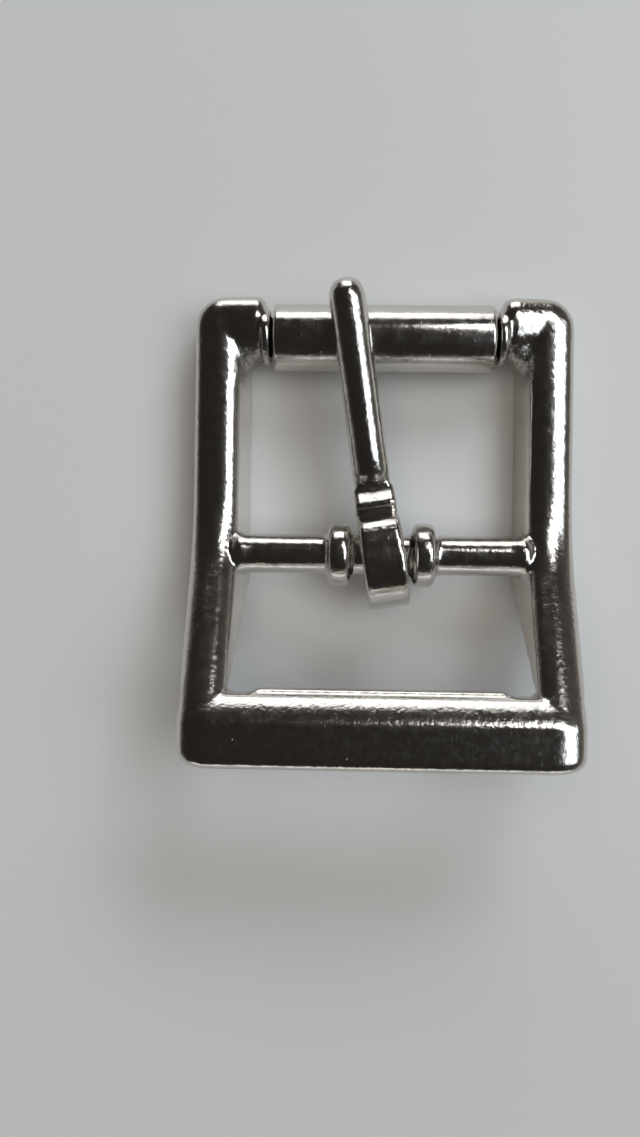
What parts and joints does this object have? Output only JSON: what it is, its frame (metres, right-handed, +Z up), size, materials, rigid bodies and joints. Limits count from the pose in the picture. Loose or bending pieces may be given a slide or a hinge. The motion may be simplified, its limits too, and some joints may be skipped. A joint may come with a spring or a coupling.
{
  "type": "roller buckle",
  "caption": "Nickel-plated cast roller buckle with a double window, a raised heel bar, a turning roller and a loose hinged tongue, for a flat strap.",
  "frame": {"origin": "on the table that the buckle rests on, under the middle of its outline", "axes": "+X across the strap, to the right in the picture; +Y along the strap, from the heel bar to the roller; +Z up from the table"},
  "size_m": [0.033, 0.0406, 0.0123],
  "materials": {
    "cast_nickel": "bright nickel plate over a zinc casting",
    "roller_nickel": "bright nickel plate over steel tube",
    "tongue_nickel": "bright nickel plate over a zinc casting"
  },
  "bodies": {
    "frame": {"frame": "cast_nickel"},
    "roller": {"roller": "roller_nickel"},
    "tongue": {"tongue": "tongue_nickel"}
  },
  "joints": [
    {"name": "roller_spin", "type": "hinge", "parent": "frame", "child": "roller", "pos_m": [0, 0.01622, 0.00296], "axis": [1, 0, 0], "continuous": true},
    {"name": "tongue_swing", "type": "hinge", "parent": "frame", "child": "tongue", "pos_m": [0.0002, -0.00343, 0.00406], "axis": [1, 0, 0], "range_deg": [0, 124]}
  ]
}
